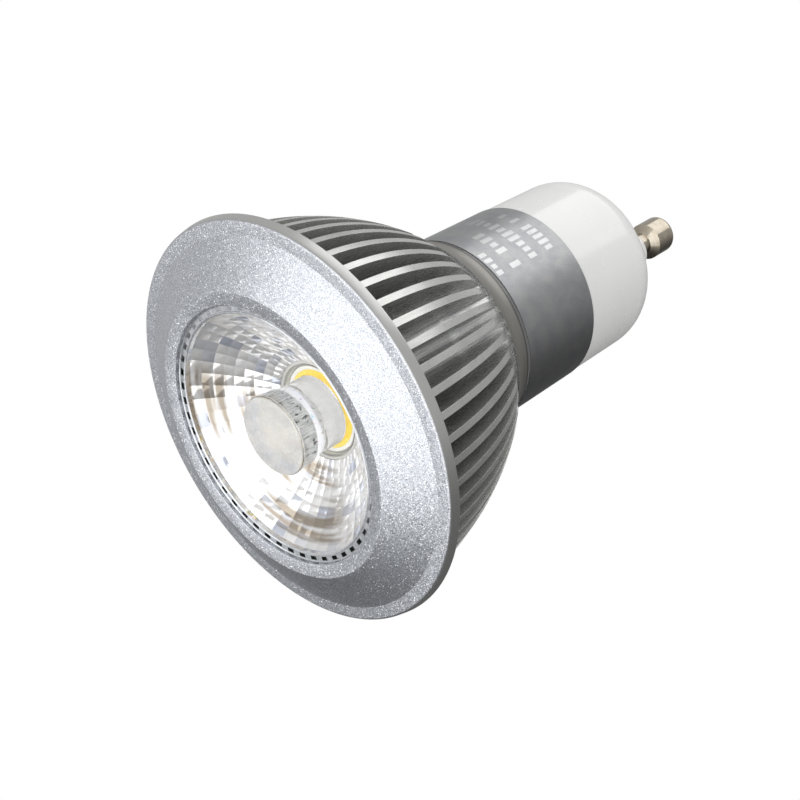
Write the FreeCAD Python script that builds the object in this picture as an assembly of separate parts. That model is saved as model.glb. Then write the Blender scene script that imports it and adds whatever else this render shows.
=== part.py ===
import FreeCAD, Part
import math
import os

# GU10 spotlight bulb with a finned heat sink, a faceted reflector and a clear centre post.
# Sizes are in millimetres. The axis is Z: z = 0 is the plane of the raised ring on the lit face,
# which the bulb stands on, and +Z runs to the two contact pins. The pins lie along X.

# Front bezel
bezel_diameter = 50.0
bezel_side_taper = 0.3
flat_band_width = 1.7
cone_width = 5.4
crest_ring_width = 1.7
crest_dish = 0.2
face_rise = 2.9
flange_thickness = 1.3
bezel_edge_fillet = 0.35
lip_thickness = 0.8
bezel_wall = 1.3
bezel_skirt_wall = 1.1
bezel_skirt_length = 2.7
skirt_clearance = 0.05
skirt_end_clearance = 0.3

# Reflector and centre lens
notch_count = 48
facet_columns = 48
facet_rows = 9
optic_rim_width = 1.1
bowl_rim_depth = 0.6
bowl_neck_diameter = 12.5
bowl_depth = 6.5
bowl_wall = 1.0
reflector_rim_overlap = 1.4
reflector_side_clearance = 0.2
reflector_skirt_wall = 1.1
notch_width = 0.9
notch_length = 0.5
notch_depth = 0.45
notch_inset = 0.2
post_front_diameter = 9.92
post_taper = 0.21
post_bevel_depth = 0.4
post_neck_flare = 0.1
post_head_length = 2.6
post_bevel_length = 1.5
post_edge_fillet = 0.25
foot_seat = 0.3
foot_thickness = 0.3
foot_clearance = 0.1

# Seal ring behind the reflector
seal_thickness = 0.8
seal_width = 1.2

# LED package and its holder
holder_gap = 0.1
holder_height = 2.2
holder_corner_wall = 0.475
window_clearance = 0.15
ear_width = 4.4
cob_margin = 0.55
cob_thickness = 0.8
cob_clearance = 0.1
pad_thickness = 0.2
phosphor_diameter = 9.9
phosphor_height = 0.5
dam_wall = 0.5
screw_head_diameter = 2.8
screw_head_height = 0.7
screw_shank_diameter = 1.6
screw_hole_clearance = 0.1
screw_hole_spare = 0.4
screw_length = 3.9
screw_slot_length = 2.0
screw_slot_width = 0.4
screw_slot_depth = 0.3

# Heat sink
fin_count = 54
fin_thickness = 0.85
fin_front_setback = 1.8
fin_middle_step = 2.15
fin_middle_from_flange = 10.8
shoulder_rise = 1.5
shoulder_from_flange = 19.8
fin_end_before_shoulder = 0.9
scoop_end_angle = 20.0
collar_step = 0.3
collar_flare = 1.55
groove_share = 0.43
heat_sink_length = 27.0
groove_width = 0.5
groove_depth = 0.4
front_ring_wall = 1.35
front_ring_length = 3.6
root_wall = 1.5
root_ramp_length = 3.2
scoop_length = 5.5
seat_clearance = 0.2
platform_thickness = 4.0
chamber_clearance = 0.2
lead_hole_clearance = 0.4

# Base housing
base_front_diameter = 24.2
base_taper = 0.3
base_wall = 2.1
base_length = 29.2
base_gap = 0.1
base_rear_fillet = 5.1
base_end_wall = 2.5
cavity_end_fillet = 2.5
nose_width = 5.8
nose_height = 2.6
nose_edge_fillet = 0.6
spigot_step = 1.1
spigot_length = 9.0
spigot_clearance = 0.1
spigot_end_clearance = 0.5
board_slot_depth = 0.4
board_slot_clearance = 0.1
label_start = 0.6
label_length = 12.9
label_thickness = 0.1
label_clearance = 0.02

# Contact pins
pin_spacing = 10.0
pin_neck_diameter = 3.0
pin_head_diameter = 5.0
pin_length = 7.0
pin_neck_length = 2.5
pin_cone_length = 0.8
pin_end_fillet = 0.7
pin_inner_length = 1.5
pin_collar_diameter = 4.2
pin_collar_thickness = 0.8
pin_hole_clearance = 0.05

# Driver
board_thickness = 1.0
board_front_in_bore = 1.3
board_end_clearance = 4.2
transformer_width = 9.0
transformer_headroom = 1.6
transformer_length = 9.0
transformer_gap = 6.0
winding_overhang = 0.8
core_wall = 1.5
capacitor_headroom = 1.2
capacitor_length = 11.0
capacitor_edge_fillet = 0.5
film_width = 9.0
film_height = 4.0
film_length = 7.0
film_gap = 3.0
film_edge_fillet = 0.6
bridge_width = 5.0
bridge_height = 2.4
bridge_length = 4.0
bridge_gap = 1.5
bridge_end_gap = 1.1
chip_width = 4.0
chip_height = 1.6
chip_length = 5.0
chip_gap = 3.3
choke_diameter = 6.4
choke_headroom = 2.2
choke_flange = 1.0
choke_waist_depth = 0.8
fuse_diameter = 2.8
fuse_length = 5.0
fuse_gap = 0.3
fuse_end_gap = 0.3
fuse_inset = 3.4
fuse_edge_fillet = 0.4
lead_diameter = 1.0
lead_spacing = 5.0
lead_bend = 0.9
lead_outset = 0.8
lead_drop = 1.0

# How far a cutting shape reaches past the piece that it cuts
cut_past = 1.0

# Heights along the axis that several pieces share
flat_z = face_rise
flange_z = flat_z + flange_thickness
optic_z = lip_thickness
bowl_mouth_z = optic_z + bowl_rim_depth
bowl_neck_z = bowl_mouth_z + bowl_depth
holder_z = bowl_neck_z + holder_gap
platform_z = holder_z + holder_height
shoulder_z = flange_z + bezel_skirt_length + skirt_end_clearance
reflector_end_z = shoulder_z - seal_thickness
cob_z = platform_z - pad_thickness - cob_thickness
heat_sink_end_z = flange_z + heat_sink_length
base_z = heat_sink_end_z + base_gap
base_end_z = base_z + base_length
cavity_end_z = base_end_z - base_end_wall
nose_end_z = base_end_z + nose_height
rear_bore_z = platform_z + platform_thickness
chamber_end_z = base_z - spigot_length - spigot_end_clearance
board_front_z = rear_bore_z + board_front_in_bore
board_end_z = cavity_end_z - board_end_clearance

# Radii from the bezel's edge inwards
bezel_front_r = bezel_diameter / 2 - bezel_side_taper
band_r = bezel_front_r - flat_band_width
crest_r = band_r - cone_width
aperture_r = crest_r - crest_ring_width
bowl_mouth_r = aperture_r - optic_rim_width
reflector_r = aperture_r + reflector_rim_overlap
skirt_inner_r = reflector_r + reflector_side_clearance
skirt_outer_r = skirt_inner_r + bezel_skirt_wall
sink_ring_r = skirt_outer_r + skirt_clearance
fin_front_r = bezel_diameter / 2 - fin_front_setback
fin_middle_r = fin_front_r - fin_middle_step

# Sizes from the phosphor outwards to the heat sink's roots
dam_diameter = phosphor_diameter + 2 * dam_wall
holder_window_diameter = dam_diameter + 2 * window_clearance
foot_recess_diameter = holder_window_diameter + 2 * foot_seat
cob_size = dam_diameter + 2 * cob_margin
cob_pocket = cob_size + 2 * cob_clearance
holder_r = cob_pocket / math.sqrt(2) + holder_corner_wall
screw_circle_r = holder_r + ear_width / 2
seat_r = screw_circle_r + ear_width / 2 + seat_clearance
root_r = seat_r + root_wall
shoulder_r = root_r + shoulder_rise
lead_y = holder_r + lead_outset
chamber_r = math.hypot(lead_spacing / 2, lead_y) + lead_diameter / 2 + chamber_clearance
fin_pitch = 360.0 / fin_count

# Radii of the base and of what fits in it
base_front_r = base_front_diameter / 2
base_rear_r = base_front_r - base_taper
cavity_r = base_rear_r - base_wall
spigot_r = base_front_r - spigot_step
rear_bore_r = spigot_r + spigot_clearance
collar_r = base_front_r + collar_step
headroom_r = cavity_r - board_thickness / 2
transformer_height = headroom_r - transformer_headroom
capacitor_diameter = headroom_r - capacitor_headroom
choke_height = headroom_r - choke_headroom

# Heights where the driver's pieces start, worked out from the board's rear end
fuse_z = board_end_z - fuse_end_gap - fuse_length
transformer_z = fuse_z - fuse_gap - transformer_length
capacitor_z = transformer_z - transformer_gap - capacitor_length
bridge_z = board_end_z - bridge_end_gap - bridge_length
film_z = bridge_z - bridge_gap - film_length
chip_z = film_z - film_gap - chip_length
choke_axis_z = chip_z - chip_gap - choke_diameter / 2


def point(r, z):
    return FreeCAD.Vector(r, 0, z)


def line(a, b):
    return Part.makeLine(a, b)


def arc(a, middle, b):
    return Part.Arc(a, middle, b).toShape()


def revolve(edges):
    """Full turn about the axis of a closed outline in the XZ plane."""
    face = Part.Face(Part.Wire(edges))
    return face.revolve(FreeCAD.Vector(0, 0, 0), FreeCAD.Vector(0, 0, 1), 360)


def turned(outline):
    """Full turn of a closed outline given as (radius, height) corners."""
    corners = [point(r, z) for r, z in outline]
    return revolve(Part.makePolygon(corners + corners[:1]).Edges)


def cylinder(diameter, length, x=0.0, y=0.0, z=0.0):
    return Part.makeCylinder(diameter / 2, length, FreeCAD.Vector(x, y, z))


def ring(outer_diameter, inner_diameter, length, z):
    return cylinder(outer_diameter, length, z=z).cut(cylinder(inner_diameter, length, z=z))


def block(width, depth, height, x, y, z):
    """Box centred on x and y that stands on z."""
    return Part.makeBox(width, depth, height, FreeCAD.Vector(x - width / 2, y - depth / 2, z))


def turned_about_axis(shape, degrees):
    copy = shape.copy()
    copy.rotate(FreeCAD.Vector(0, 0, 0), FreeCAD.Vector(0, 0, 1), degrees)
    return copy


def around(shape, count, first=0.0):
    return [turned_about_axis(shape, first + 360.0 * i / count) for i in range(count)]


def edges_at(body, z):
    """Edges of a body that lie flat at height z."""
    return [e for e in body.Edges if abs(e.BoundBox.ZMin - z) < 1e-6 and abs(e.BoundBox.ZMax - z) < 1e-6]


def export(name, shape):
    shape.exportStep("parts/" + name + ".step")
    print(name, "valid", shape.isValid(), "solids", len(shape.Solids), "faces", len(shape.Faces),
          "volume", round(shape.Volume, 1))


def cone_face_z(r):
    """Height of the bezel's sloping face at radius r."""
    return flat_z * (r - crest_r) / (band_r - crest_r)


def front_bezel():
    back_r = bezel_diameter / 2
    skirt_end_z = flange_z + bezel_skirt_length
    pocket_in = skirt_outer_r + front_ring_wall
    pocket_out = band_r - bezel_wall
    body = turned([
        (aperture_r, crest_dish), (crest_r, 0), (band_r, flat_z), (bezel_front_r, flat_z),
        (back_r, flange_z), (pocket_out, flange_z), (pocket_out, cone_face_z(pocket_out) + bezel_wall),
        (pocket_in, cone_face_z(pocket_in) + bezel_wall), (pocket_in, flange_z),
        (skirt_outer_r, flange_z), (skirt_outer_r, skirt_end_z), (skirt_inner_r, skirt_end_z),
        (skirt_inner_r, optic_z), (aperture_r, optic_z)])
    outer = [e for e in edges_at(body, flat_z) if abs(e.BoundBox.XMax - bezel_front_r) < 1e-6]
    return body.makeFillet(bezel_edge_fillet, outer)


def bowl_radius(z):
    """Radius of the reflector's paraboloid at height z."""
    mouth = bowl_mouth_r ** 2
    neck = (bowl_neck_diameter / 2) ** 2
    share = (bowl_neck_z - z) / bowl_depth
    return math.sqrt(neck + (mouth - neck) * share)


def bowl_back(z):
    """Point of the bowl's outside: one wall out, square to the paraboloid at height z."""
    mouth = bowl_mouth_r ** 2
    neck = (bowl_neck_diameter / 2) ** 2
    r = bowl_radius(z)
    slope = 2 * r * bowl_depth / (mouth - neck)
    reach = math.sqrt(1 + slope ** 2)
    return r + bowl_wall * slope / reach, z + bowl_wall / reach


def polygon_corners(r, z):
    half = math.cos(math.pi / facet_columns)
    corners = []
    for i in range(facet_columns):
        angle = 2 * math.pi * (i + 0.5) / facet_columns
        corners.append(FreeCAD.Vector(r / half * math.cos(angle), r / half * math.sin(angle), z))
    return corners


def facet_core():
    """The bowl's hollow: rings of flat facets between the neck and the mouth."""
    neck_r = bowl_neck_diameter / 2
    levels = [(bowl_mouth_r, optic_z - cut_past)]
    for row in range(facet_rows + 1):
        r = bowl_mouth_r + (neck_r - bowl_mouth_r) * row / facet_rows
        share = (bowl_mouth_r ** 2 - r ** 2) / (bowl_mouth_r ** 2 - neck_r ** 2)
        levels.append((r, bowl_mouth_z + bowl_depth * share))
    levels.append((neck_r, bowl_neck_z + cut_past))
    rings = [polygon_corners(r, z) for r, z in levels]
    faces = [Part.Face(Part.makePolygon(rings[0] + rings[0][:1])),
             Part.Face(Part.makePolygon(rings[-1] + rings[-1][:1]))]
    for low, high in zip(rings[:-1], rings[1:]):
        for i in range(facet_columns):
            j = (i + 1) % facet_columns
            faces.append(Part.Face(Part.makePolygon([low[i], low[j], high[j], high[i], low[i]])))
    return Part.makeSolid(Part.makeShell(faces))


def facet_reflector():
    """Rim, outer skirt and faceted bowl in one moulding."""
    inner_skirt_r = reflector_r - reflector_skirt_wall
    back = [bowl_back(bowl_mouth_z + bowl_depth * row / facet_rows) for row in range(facet_rows + 1)]
    back = [(r, z) for r, z in back if r < inner_skirt_r and z < bowl_neck_z]
    corners = [(0, optic_z), (reflector_r, optic_z), (reflector_r, reflector_end_z),
               (inner_skirt_r, reflector_end_z), (inner_skirt_r, back[0][1])]
    corners += back + [(back[-1][0], bowl_neck_z), (0, bowl_neck_z)]
    body = turned(corners).cut(facet_core())
    notch_r = aperture_r - notch_inset - notch_length / 2
    notch = block(notch_length, notch_width, notch_depth + cut_past, notch_r, 0, optic_z - cut_past)
    return body.cut(around(notch, notch_count, 180.0 / notch_count))


def centre_lens():
    """Clear post with a bevelled waist and a thin foot that sits in the holder."""
    front_z = optic_z
    step_z = front_z + post_head_length
    neck_z = step_z + post_bevel_length
    front_r = post_front_diameter / 2
    step_r = front_r - post_taper
    neck_r = step_r - post_bevel_depth
    foot_r = foot_recess_diameter / 2 - foot_clearance
    foot_end_z = holder_z + foot_thickness
    body = turned([
        (0, front_z), (front_r, front_z), (step_r, step_z), (neck_r, neck_z),
        (neck_r + post_neck_flare, holder_z), (foot_r, holder_z), (foot_r, foot_end_z), (0, foot_end_z)])
    return body.makeFillet(post_edge_fillet, edges_at(body, front_z))


def lens_seal():
    outer = 2 * reflector_r
    return ring(outer, outer - 2 * seal_width, seal_thickness, reflector_end_z)


def screw_places():
    return [(screw_circle_r, 0.0), (-screw_circle_r, 0.0)]


def led_holder():
    disc = cylinder(2 * holder_r, holder_height, z=holder_z)
    for x, y in screw_places():
        ear = block(abs(x), ear_width, holder_height, x / 2, y, holder_z)
        disc = disc.fuse([ear, cylinder(ear_width, holder_height, x, y, holder_z)])
    disc = disc.removeSplitter()
    window = cylinder(holder_window_diameter, holder_height, z=holder_z)
    recess = cylinder(foot_recess_diameter, foot_thickness, z=holder_z)
    pocket = block(cob_pocket, cob_pocket, platform_z - cob_z, 0, 0, cob_z)
    hole_diameter = screw_shank_diameter + 2 * screw_hole_clearance
    sink_diameter = screw_head_diameter + 2 * screw_hole_clearance
    holes = [cylinder(hole_diameter, holder_height, x, y, holder_z) for x, y in screw_places()]
    holes += [cylinder(sink_diameter, screw_head_height, x, y, holder_z) for x, y in screw_places()]
    return disc.cut([window, recess, pocket] + holes)


def cob_substrate():
    return block(cob_size, cob_size, cob_thickness, 0, 0, cob_z)


def thermal_pad():
    return block(cob_size, cob_size, pad_thickness, 0, 0, cob_z + cob_thickness)


def cob_phosphor():
    return cylinder(phosphor_diameter, phosphor_height, z=cob_z - phosphor_height)


def cob_dam():
    return ring(dam_diameter, phosphor_diameter, phosphor_height, cob_z - phosphor_height)


def holder_screw(x, y):
    """Screw whose head is sunk in the holder's ear, so that it clears the bowl."""
    head = cylinder(screw_head_diameter, screw_head_height, x, y, holder_z)
    shank = cylinder(screw_shank_diameter, screw_length, x, y, holder_z + screw_head_height)
    bars = [block(screw_slot_length, screw_slot_width, screw_slot_depth, x, y, holder_z),
            block(screw_slot_width, screw_slot_length, screw_slot_depth, x, y, holder_z)]
    return head.fuse(shank).removeSplitter().cut(bars)


def fin_envelope():
    """Edges of the heat sink's outer outline, from the flange to the end of its flared collar."""
    front = point(fin_front_r, flange_z)
    middle = point(fin_middle_r, flange_z + fin_middle_from_flange)
    shoulder = point(shoulder_r, flange_z + shoulder_from_flange)
    groove_z = shoulder.z + groove_share * (heat_sink_end_z - shoulder.z)
    flare_z = groove_z + groove_width
    flare_r = collar_r + collar_flare
    corners = [shoulder, point(flare_r, groove_z), point(flare_r - groove_depth, groove_z),
               point(flare_r - groove_depth, flare_z), point(flare_r, flare_z)]
    flare_length = heat_sink_end_z - flare_z
    bend_r = (collar_flare ** 2 + flare_length ** 2) / (2 * collar_flare)
    half_turn = math.atan2(collar_flare, flare_length)
    bend = point(collar_r + bend_r * (1 - math.cos(half_turn)),
                 heat_sink_end_z - bend_r * math.sin(half_turn))
    edges = [arc(front, middle, shoulder)]
    edges += [line(a, b) for a, b in zip(corners[:-1], corners[1:])]
    return edges + [arc(corners[-1], bend, point(collar_r, heat_sink_end_z))]


def heat_sink_body():
    """The turned blank with its seat, platform, wire chamber and rear bore, before the fins are cut."""
    outline = fin_envelope()
    inside = [(collar_r, heat_sink_end_z), (rear_bore_r, heat_sink_end_z), (rear_bore_r, chamber_end_z),
              (chamber_r, chamber_end_z), (chamber_r, rear_bore_z), (0, rear_bore_z), (0, platform_z),
              (seat_r, platform_z), (seat_r, shoulder_z), (sink_ring_r, shoulder_z),
              (sink_ring_r, flange_z), (fin_front_r, flange_z)]
    corners = [point(r, z) for r, z in inside]
    outline += [line(a, b) for a, b in zip(corners[:-1], corners[1:])]
    return revolve(outline)


def gap_cutter():
    """Space between two fins: a curved floor that scoops up to the shoulder, and two flat sides."""
    ring_r = sink_ring_r + front_ring_wall
    far_r = bezel_diameter / 2 + cut_past
    low_z = flange_z - cut_past
    ring_end_z = flange_z + front_ring_length
    end_z = flange_z + shoulder_from_flange - fin_end_before_shoulder
    scoop_z = end_z - scoop_length
    end_r = scoop_end_radius(end_z)
    rise = end_r - root_r
    bend_r = (rise ** 2 + scoop_length ** 2) / (2 * rise)
    half_turn = math.asin(scoop_length / bend_r) / 2
    middle = point(root_r + bend_r * (1 - math.cos(half_turn)), scoop_z + bend_r * math.sin(half_turn))
    start = point(ring_r, low_z)
    corners = [start, point(ring_r, ring_end_z), point(root_r, ring_end_z + root_ramp_length),
               point(root_r, scoop_z)]
    end = point(end_r, end_z)
    over = point(far_r, end_z + (far_r - end_r) * math.tan(math.radians(scoop_end_angle)))
    edges = [line(a, b) for a, b in zip(corners[:-1], corners[1:])]
    edges += [arc(corners[-1], middle, end), line(end, over), line(over, point(far_r, low_z)),
              line(point(far_r, low_z), start)]
    face = Part.Face(Part.Wire(edges))
    face.rotate(FreeCAD.Vector(0, 0, 0), FreeCAD.Vector(0, 0, 1), -fin_pitch / 2)
    space = face.revolve(FreeCAD.Vector(0, 0, 0), FreeCAD.Vector(0, 0, 1), 2 * fin_pitch)
    half = math.radians(fin_pitch / 2)
    apex_r = fin_thickness / 2 / math.sin(half)
    reach = far_r * 2
    apex = FreeCAD.Vector(apex_r * math.cos(half), apex_r * math.sin(half), low_z)
    first = apex + FreeCAD.Vector(reach, 0, 0)
    second = apex + FreeCAD.Vector(reach * math.cos(2 * half), reach * math.sin(2 * half), 0)
    wedge = Part.Face(Part.makePolygon([apex, first, second, apex]))
    return space.common(wedge.extrude(FreeCAD.Vector(0, 0, 2 * heat_sink_length)))


def scoop_end_radius(z):
    """Radius of the heat sink's outline where the gaps end."""
    edge = fin_envelope()[0]
    low = Part.makeLine(point(0, z), point(bezel_diameter, z))
    return edge.distToShape(low)[1][0][0].x


def lead_places():
    return [-lead_spacing / 2, lead_spacing / 2]


def heat_sink():
    body = heat_sink_body().cut(around(gap_cutter(), fin_count))
    screw_hole_depth = screw_head_height + screw_length - holder_height + screw_hole_spare
    holes = [cylinder(screw_shank_diameter, screw_hole_depth, x, y, platform_z)
             for x, y in screw_places()]
    lead_hole = lead_diameter + 2 * lead_hole_clearance
    holes += [cylinder(lead_hole, platform_thickness, x, lead_y, platform_z) for x in lead_places()]
    return body.cut(holes)


def lead_run(points, bend):
    """Round wire along straight runs joined by tangent arcs."""
    edges = []
    last = points[0]
    for before, corner, after in zip(points[:-2], points[1:-1], points[2:]):
        inward = (before - corner).normalize()
        outward = (after - corner).normalize()
        start = corner + inward * bend
        end = corner + outward * bend
        centre = corner + inward * bend + outward * bend
        middle = centre + (corner - centre).normalize() * bend
        edges += [line(last, start), arc(start, middle, end)]
        last = end
    edges.append(line(last, points[-1]))
    path = Part.Wire(edges)
    direction = points[1] - points[0]
    profile = Part.Wire(Part.makeCircle(lead_diameter / 2, points[0], direction))
    return path.makePipeShell([profile], True, True)


def led_lead(x):
    wire_z = holder_z + holder_height / 2
    side_y = math.sqrt(holder_r ** 2 - (abs(x) - lead_diameter / 2) ** 2)
    rear_z = board_front_z + lead_drop
    return lead_run([FreeCAD.Vector(x, side_y, wire_z), FreeCAD.Vector(x, lead_y, wire_z),
                     FreeCAD.Vector(x, lead_y, rear_z),
                     FreeCAD.Vector(x, board_thickness / 2, rear_z)], lead_bend)


def base_radius(z):
    """Outside radius of the tapered barrel at height z."""
    share = (z - base_z) / base_length
    return base_front_r - base_taper * share


def pin_nose():
    """Raised block with round ends on the base's end, which both pins stand on."""
    low = base_end_z - base_end_wall / 2
    ends = [cylinder(nose_width, nose_end_z - low, x, 0, low) for x in pin_places()]
    body = block(pin_spacing, nose_width, nose_end_z - low, 0, 0, low).fuse(ends).removeSplitter()
    return body.makeFillet(nose_edge_fillet, edges_at(body, nose_end_z))


def base_housing():
    start_z = base_z - spigot_length
    body = turned([
        (cavity_r, start_z), (spigot_r, start_z), (spigot_r, base_z), (base_radius(base_z), base_z),
        (base_radius(base_end_z), base_end_z), (0, base_end_z), (0, cavity_end_z),
        (cavity_r, cavity_end_z)])
    body = body.makeFillet(base_rear_fillet, edges_at(body, base_end_z))
    body = body.makeFillet(cavity_end_fillet, edges_at(body, cavity_end_z)).fuse(pin_nose())
    slot_width = board_thickness + 2 * board_slot_clearance
    slot_reach = 2 * (cavity_r + board_slot_depth)
    slot = block(slot_reach, slot_width, board_end_z - start_z, 0, 0, start_z)
    hole_diameter = pin_neck_diameter + 2 * pin_hole_clearance
    holes = [cylinder(hole_diameter, nose_end_z - cavity_end_z, x, 0, cavity_end_z)
             for x in pin_places()]
    return body.cut([slot] + holes)


def label_band():
    low = base_z + label_start
    high = low + label_length
    inner_low = base_radius(low) + label_clearance
    inner_high = base_radius(high) + label_clearance
    return turned([(inner_low, low), (inner_low + label_thickness, low),
                   (inner_high + label_thickness, high), (inner_high, high)])


def pin_places():
    return [-pin_spacing / 2, pin_spacing / 2]


def contact_pin(x):
    """Neck, coned underside, rounded head and an inner collar that holds it in the end wall."""
    neck_r = pin_neck_diameter / 2
    head_r = pin_head_diameter / 2
    cone_z = nose_end_z + pin_neck_length
    head_z = cone_z + pin_cone_length
    tip_z = nose_end_z + pin_length
    collar_z = cavity_end_z - pin_collar_thickness
    inner_z = cavity_end_z - pin_inner_length
    body = turned([
        (0, inner_z), (neck_r, inner_z), (neck_r, collar_z), (pin_collar_diameter / 2, collar_z),
        (pin_collar_diameter / 2, cavity_end_z), (neck_r, cavity_end_z), (neck_r, cone_z),
        (head_r, head_z), (head_r, tip_z), (0, tip_z)])
    body = body.makeFillet(pin_end_fillet, edges_at(body, tip_z))
    body.translate(FreeCAD.Vector(x, 0, 0))
    return body


def pin_lead(x):
    """Bare wire from the pin's inner end to the end of the board."""
    return cylinder(lead_diameter, cavity_end_z - pin_inner_length - board_end_z, x, 0, board_end_z)


def driver_board():
    width = 2 * (cavity_r + board_slot_depth - board_slot_clearance)
    return block(width, board_thickness, board_end_z - board_front_z, 0, 0, board_front_z)


def on_board(width, height, length, z, side, x=0.0):
    """Box on one face of the board: side is 1 for the +Y face and -1 for the other."""
    y = side * (board_thickness / 2 + height / 2)
    return block(width, height, length, x, y, z)


def winding_block(width):
    window = on_board(width, transformer_height - 2 * core_wall, transformer_length - 2 * core_wall,
                      transformer_z + core_wall, 1)
    window.translate(FreeCAD.Vector(0, core_wall, 0))
    return window


def transformer_core():
    """Ferrite frame with one window across it."""
    body = on_board(transformer_width, transformer_height, transformer_length, transformer_z, 1)
    return body.cut(winding_block(transformer_width))


def transformer_winding():
    """Taped winding that fills the frame's window and stands out at both sides."""
    return winding_block(transformer_width + 2 * winding_overhang)


def electrolytic_capacitor():
    y = board_thickness / 2 + capacitor_diameter / 2
    can = cylinder(capacitor_diameter, capacitor_length, 0, y, capacitor_z)
    rims = [e for e in can.Edges if e.BoundBox.ZMax - e.BoundBox.ZMin < 1e-6]
    return can.makeFillet(capacitor_edge_fillet, rims)


def film_capacitor():
    body = on_board(film_width, film_height, film_length, film_z, -1)
    outer = [e for e in body.Edges if e.BoundBox.YMax < -board_thickness / 2 - film_height / 2]
    return body.makeFillet(film_edge_fillet, outer)


def bridge_rectifier():
    return on_board(bridge_width, bridge_height, bridge_length, bridge_z, -1)


def driver_chip():
    return on_board(chip_width, chip_height, chip_length, chip_z, -1)


def choke_coil():
    body = cylinder(choke_diameter, choke_height)
    waist = ring(choke_diameter, choke_diameter - 2 * choke_waist_depth, choke_height - 2 * choke_flange,
                 choke_flange)
    body = body.cut(waist)
    body.rotate(FreeCAD.Vector(0, 0, 0), FreeCAD.Vector(1, 0, 0), 90)
    body.translate(FreeCAD.Vector(0, -board_thickness / 2, choke_axis_z))
    return body


def fuse_resistor():
    y = board_thickness / 2 + fuse_diameter / 2
    body = cylinder(fuse_diameter, fuse_length, cavity_r - fuse_inset, y, fuse_z)
    rims = [e for e in body.Edges if e.BoundBox.ZMax - e.BoundBox.ZMin < 1e-6]
    return body.makeFillet(fuse_edge_fillet, rims)


def main():
    os.makedirs("parts", exist_ok=True)
    export("front_bezel", front_bezel())
    export("facet_reflector", facet_reflector())
    export("centre_lens", centre_lens())
    export("lens_seal", lens_seal())
    export("led_holder", led_holder())
    export("cob_substrate", cob_substrate())
    export("cob_phosphor", cob_phosphor())
    export("cob_dam", cob_dam())
    export("thermal_pad", thermal_pad())
    export("holder_screws", Part.makeCompound([holder_screw(x, y) for x, y in screw_places()]))
    export("heat_sink", heat_sink())
    for name, x in zip(("led_lead_left", "led_lead_right"), lead_places()):
        export(name, led_lead(x))
    export("base_housing", base_housing())
    export("label_band", label_band())
    for name, x in zip(("contact_pin_left", "contact_pin_right"), pin_places()):
        export(name, contact_pin(x))
    for name, x in zip(("pin_lead_left", "pin_lead_right"), pin_places()):
        export(name, pin_lead(x))
    export("driver_board", driver_board())
    export("transformer_core", transformer_core())
    export("transformer_winding", transformer_winding())
    export("electrolytic_capacitor", electrolytic_capacitor())
    export("film_capacitor", film_capacitor())
    export("bridge_rectifier", bridge_rectifier())
    export("driver_chip", driver_chip())
    export("choke_coil", choke_coil())
    export("fuse_resistor", fuse_resistor())


main()
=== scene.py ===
import math
from functools import cached_property

import bmesh
import bpy
from mathutils import Matrix, Vector


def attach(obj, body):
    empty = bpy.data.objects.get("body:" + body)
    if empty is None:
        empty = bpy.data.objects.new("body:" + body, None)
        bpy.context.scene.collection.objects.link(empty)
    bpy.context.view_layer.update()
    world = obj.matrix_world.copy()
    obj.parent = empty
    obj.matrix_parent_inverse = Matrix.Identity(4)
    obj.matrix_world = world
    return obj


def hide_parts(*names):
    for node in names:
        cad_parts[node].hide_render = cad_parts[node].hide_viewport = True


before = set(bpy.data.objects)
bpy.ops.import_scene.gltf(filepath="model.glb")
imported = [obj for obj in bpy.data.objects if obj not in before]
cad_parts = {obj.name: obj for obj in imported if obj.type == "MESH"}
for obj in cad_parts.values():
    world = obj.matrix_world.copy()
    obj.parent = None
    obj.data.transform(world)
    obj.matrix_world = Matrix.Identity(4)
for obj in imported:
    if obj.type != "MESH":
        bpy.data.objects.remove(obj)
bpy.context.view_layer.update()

# Sizes in millimetres: R is a distance from the axis, Z a height above the raised ring

MM = 0.001

LIP_Z = 0.2
APERTURE_R = 15.9
CREST_R = 17.6
FLAT_R, FLAT_Z = 23.0, 2.9
FLAT_EDGE_R = 24.7
FLANGE_R, FLANGE_Z = 25.0, 4.2
CHANNEL_OUTER_R, CHANNEL_OUTER_Z = 21.7, 3.502
CHANNEL_INNER_R, CHANNEL_INNER_Z = 19.95, 2.562
SKIRT_R, SKIRT_END_Z = 18.6, 6.9
BORE_R = 17.5

RIM_Z = 0.8
REFLECTOR_R = 17.3
MOUTH_R, MOUTH_Z = 14.8, 1.4
NECK_R, NECK_Z = 6.25, 7.9
COLUMNS = 48
ROWS = 9

POST_FRONT_R, POST_FRONT_Z = 4.96, 0.8
POST_BEVEL_R, POST_BEVEL_Z = 4.75, 3.4
POST_WAIST_R, POST_WAIST_Z = 4.35, 4.9
POST_NECK_R = 4.45
FOOT_R, FOOT_Z, FOOT_END_Z = 5.8, 8.0, 8.3

FINS = 54
COLLAR_Z, COLLAR_END_Z = 27.6, 31.2
BAND_Z = 31.9


def mm(x, y, z):
    return Vector((x * MM, y * MM, z * MM))


def round_point(r, z, turn):
    """Point at radius r, height z and angle turn round the axis."""
    return (r * MM * math.cos(turn), r * MM * math.sin(turn), z * MM)


# Nodes

def add_node(tree, kind, inputs=None, **settings):
    """New node in the tree; each input gets a value or another node's output."""
    made = tree.nodes.new(kind)
    for setting, value in settings.items():
        setattr(made, setting, value)
    for key, value in (inputs or {}).items():
        if isinstance(value, bpy.types.NodeSocket):
            tree.links.new(value, made.inputs[key])
        else:
            made.inputs[key].default_value = value
    return made


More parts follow.
